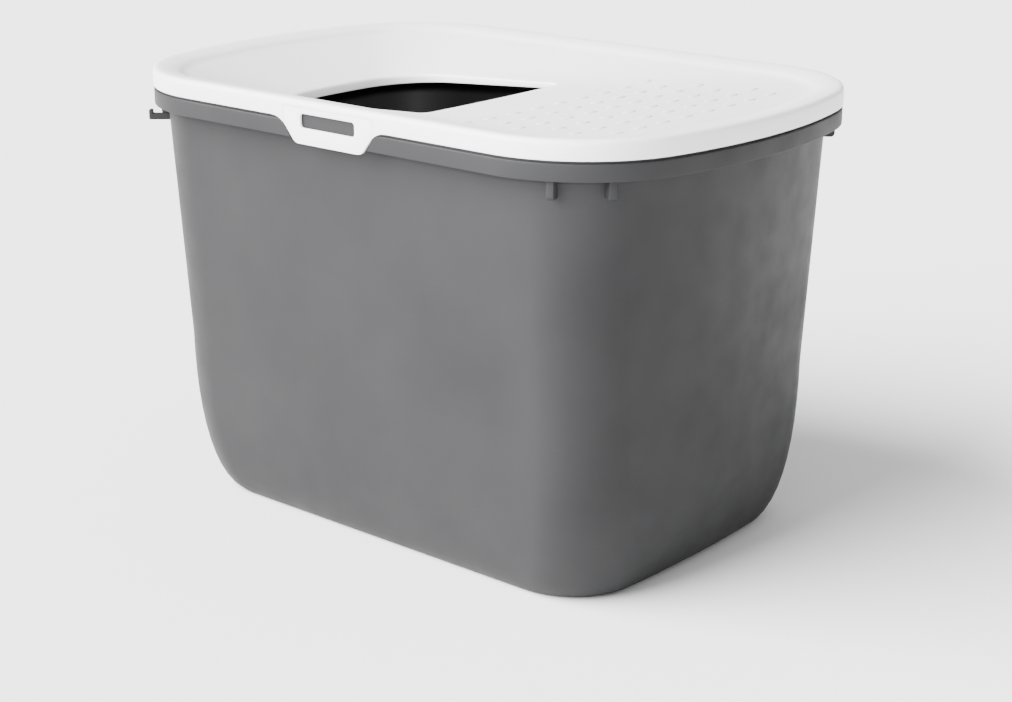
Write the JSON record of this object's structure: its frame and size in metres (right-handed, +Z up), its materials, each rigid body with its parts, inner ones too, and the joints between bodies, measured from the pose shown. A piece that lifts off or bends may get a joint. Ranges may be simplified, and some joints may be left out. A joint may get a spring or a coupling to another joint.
{
  "type": "top-entry cat litter box",
  "caption": "Deep tapered plastic tub with a lift-off lid: sunk round-cornered entry hole, grip deck, snap tabs and a scoop hook under the rim.",
  "frame": {"origin": "centre of the floor plane the tub stands on, under the middle of the lid's outline", "axes": "+X along the long side towards the grip deck end, -Y the front long side with the scoop hook at its left, +Z up"},
  "size_m": [0.585, 0.395, 0.39],
  "materials": {
    "tub_plastic": "fine-grained matt polypropylene, mid grey",
    "lid_plastic": "satin moulded polypropylene, white"
  },
  "bodies": {
    "tub": {"tub": "tub_plastic", "tub_rim": "tub_plastic", "scoop_hook": "tub_plastic", "stop_rib_1": "tub_plastic", "stop_rib_2": "tub_plastic", "stop_rib_3": "tub_plastic", "stop_rib_4": "tub_plastic", "stop_rib_5": "tub_plastic", "stop_rib_6": "tub_plastic", "stop_rib_7": "tub_plastic"},
    "lid": {"lid": "lid_plastic"},
    "front_tab": {"front_tab": "lid_plastic"},
    "rear_tab": {"rear_tab": "lid_plastic"}
  },
  "joints": [
    {"name": "lid_lift", "type": "slide", "parent": "tub", "child": "lid", "axis": [0, 0, 1], "range_m": [0, 0.16]},
    {"name": "front_tab_flex", "type": "hinge", "parent": "lid", "child": "front_tab", "pos_m": [0, -0.1963, 0.3825], "axis": [-1, 0, 0], "range_deg": [0, 15], "stiffness_Nm_per_rad": 1.5},
    {"name": "rear_tab_flex", "type": "hinge", "parent": "lid", "child": "rear_tab", "pos_m": [0, 0.1963, 0.3825], "axis": [1, 0, 0], "range_deg": [0, 15], "stiffness_Nm_per_rad": 1.5}
  ]
}
